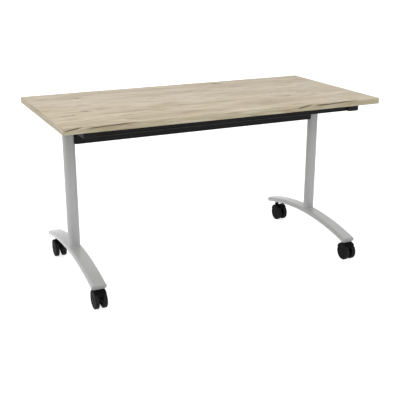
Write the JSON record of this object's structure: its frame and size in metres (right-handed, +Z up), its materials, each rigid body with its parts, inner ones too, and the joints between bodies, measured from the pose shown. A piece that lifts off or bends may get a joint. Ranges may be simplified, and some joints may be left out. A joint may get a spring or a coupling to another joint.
{
  "type": "flip top table",
  "caption": "Flip top training table: pale oak decor board that tilts upright on silver T-shaped legs with arched feet, black crossbeam and twin-wheel swivel casters.",
  "frame": {"origin": "middle of the footprint on the floor, under the centre of the overall box", "axes": "+X along the table to the right as the user sees it, +Y away from the user, +Z up"},
  "size_m": [1.4, 0.7038, 0.736],
  "materials": {
    "oak_decor": "melamine-faced board with a pale oak decor, satin, grain along X",
    "oak_edge": "plastic edge banding in the matching oak decor, satin",
    "silver_paint": "silver-grey powder coat on steel tube, satin",
    "silver_cap": "silver-grey moulded plastic, satin",
    "black_paint": "black powder coat, fine texture",
    "black_plastic": "black moulded plastic, matt",
    "caster_plastic": "black moulded nylon, satin",
    "tread": "black wheel with a soft tread, matt",
    "cast_head": "black painted cast metal",
    "bright_steel": "zinc-plated steel",
    "bush_plastic": "grey acetal"
  },
  "bodies": {
    "base": {"foot_left": "silver_paint", "foot_cap_front_left": "silver_cap", "foot_cap_back_left": "silver_cap", "column_left": "silver_paint", "beam_saddle_left": "black_plastic", "pivot_head_left": "cast_head", "pivot_bush_left": "bush_plastic", "foot_right": "silver_paint", "foot_cap_front_right": "silver_cap", "foot_cap_back_right": "silver_cap", "column_right": "silver_paint", "beam_saddle_right": "black_plastic", "pivot_head_right": "cast_head", "pivot_bush_right": "bush_plastic", "crossbeam": "black_paint", "caster_stem_front_left": "bright_steel", "caster_stem_back_left": "bright_steel", "caster_stem_front_right": "bright_steel", "caster_stem_back_right": "bright_steel"},
    "top": {"top_board": "oak_decor", "edge_band_front": "oak_edge", "edge_band_back": "oak_edge", "edge_band_left": "oak_edge", "edge_band_right": "oak_edge", "front_rail": "black_paint", "back_rail": "black_paint", "arm_left": "black_paint", "arm_cap_front_left": "black_plastic", "arm_cap_back_left": "black_plastic", "pivot_pin_left": "bright_steel", "latch_bracket_left": "black_paint", "latch_spring_left": "bright_steel", "arm_right": "black_paint", "arm_cap_front_right": "black_plastic", "arm_cap_back_right": "black_plastic", "pivot_pin_right": "bright_steel", "latch_bracket_right": "black_paint", "latch_spring_right": "bright_steel"},
    "release": {"latch_bolt_left": "bright_steel", "latch_bolt_right": "bright_steel", "release_bar": "black_paint"},
    "caster_front_left": {"caster_hood_front_left": "caster_plastic", "caster_axle_front_left": "bright_steel"},
    "wheel_left_of_front_left": {"wheel_left_of_front_left": "tread"},
    "wheel_right_of_front_left": {"wheel_right_of_front_left": "tread"},
    "brake_front_left": {"brake_pedal_front_left": "caster_plastic"},
    "caster_back_left": {"caster_hood_back_left": "caster_plastic", "caster_axle_back_left": "bright_steel"},
    "wheel_left_of_back_left": {"wheel_left_of_back_left": "tread"},
    "wheel_right_of_back_left": {"wheel_right_of_back_left": "tread"},
    "caster_front_right": {"caster_hood_front_right": "caster_plastic", "caster_axle_front_right": "bright_steel"},
    "wheel_left_of_front_right": {"wheel_left_of_front_right": "tread"},
    "wheel_right_of_front_right": {"wheel_right_of_front_right": "tread"},
    "brake_front_right": {"brake_pedal_front_right": "caster_plastic"},
    "caster_back_right": {"caster_hood_back_right": "caster_plastic", "caster_axle_back_right": "bright_steel"},
    "wheel_left_of_back_right": {"wheel_left_of_back_right": "tread"},
    "wheel_right_of_back_right": {"wheel_right_of_back_right": "tread"}
  },
  "joints": [
    {"name": "top_tilt", "type": "hinge", "parent": "base", "child": "top", "pos_m": [0, 0.04385, 0.6898], "axis": [-1, 0, 0], "range_deg": [0, 90]},
    {"name": "release_pull", "type": "slide", "parent": "top", "child": "release", "axis": [0, -1, 0], "range_m": [0, 0.008], "stiffness_N_per_m": 2000, "springref_m": -0.006, "deforming": ["latch_spring_left", "latch_spring_right"]},
    {"name": "swivel_front_left", "type": "hinge", "parent": "base", "child": "caster_front_left", "pos_m": [-0.5894, -0.28535, 0.08], "axis": [0, 0, 1], "continuous": true},
    {"name": "roll_left_of_front_left", "type": "hinge", "parent": "caster_front_left", "child": "wheel_left_of_front_left", "pos_m": [-0.6059, -0.31435, 0.0375], "axis": [1, 0, 0], "continuous": true},
    {"name": "roll_right_of_front_left", "type": "hinge", "parent": "caster_front_left", "child": "wheel_right_of_front_left", "pos_m": [-0.5729, -0.31435, 0.0375], "axis": [1, 0, 0], "continuous": true},
    {"name": "brake_lift_front_left", "type": "hinge", "parent": "caster_front_left", "child": "brake_front_left", "pos_m": [-0.5894, -0.33625, 0.07121], "axis": [-1, 0, 0], "range_deg": [0, 12]},
    {"name": "swivel_back_left", "type": "hinge", "parent": "base", "child": "caster_back_left", "pos_m": [-0.5894, 0.30905, 0.08], "axis": [0, 0, 1], "continuous": true},
    {"name": "roll_left_of_back_left", "type": "hinge", "parent": "caster_back_left", "child": "wheel_left_of_back_left", "pos_m": [-0.6059, 0.28005, 0.0375], "axis": [1, 0, 0], "continuous": true},
    {"name": "roll_right_of_back_left", "type": "hinge", "parent": "caster_back_left", "child": "wheel_right_of_back_left", "pos_m": [-0.5729, 0.28005, 0.0375], "axis": [1, 0, 0], "continuous": true},
    {"name": "swivel_front_right", "type": "hinge", "parent": "base", "child": "caster_front_right", "pos_m": [0.5894, -0.28535, 0.08], "axis": [0, 0, 1], "continuous": true},
    {"name": "roll_left_of_front_right", "type": "hinge", "parent": "caster_front_right", "child": "wheel_left_of_front_right", "pos_m": [0.5729, -0.31435, 0.0375], "axis": [1, 0, 0], "continuous": true},
    {"name": "roll_right_of_front_right", "type": "hinge", "parent": "caster_front_right", "child": "wheel_right_of_front_right", "pos_m": [0.6059, -0.31435, 0.0375], "axis": [1, 0, 0], "continuous": true},
    {"name": "brake_lift_front_right", "type": "hinge", "parent": "caster_front_right", "child": "brake_front_right", "pos_m": [0.5894, -0.33625, 0.07121], "axis": [-1, 0, 0], "range_deg": [0, 12]},
    {"name": "swivel_back_right", "type": "hinge", "parent": "base", "child": "caster_back_right", "pos_m": [0.5894, 0.30905, 0.08], "axis": [0, 0, 1], "continuous": true},
    {"name": "roll_left_of_back_right", "type": "hinge", "parent": "caster_back_right", "child": "wheel_left_of_back_right", "pos_m": [0.5729, 0.28005, 0.0375], "axis": [1, 0, 0], "continuous": true},
    {"name": "roll_right_of_back_right", "type": "hinge", "parent": "caster_back_right", "child": "wheel_right_of_back_right", "pos_m": [0.6059, 0.28005, 0.0375], "axis": [1, 0, 0], "continuous": true}
  ]
}
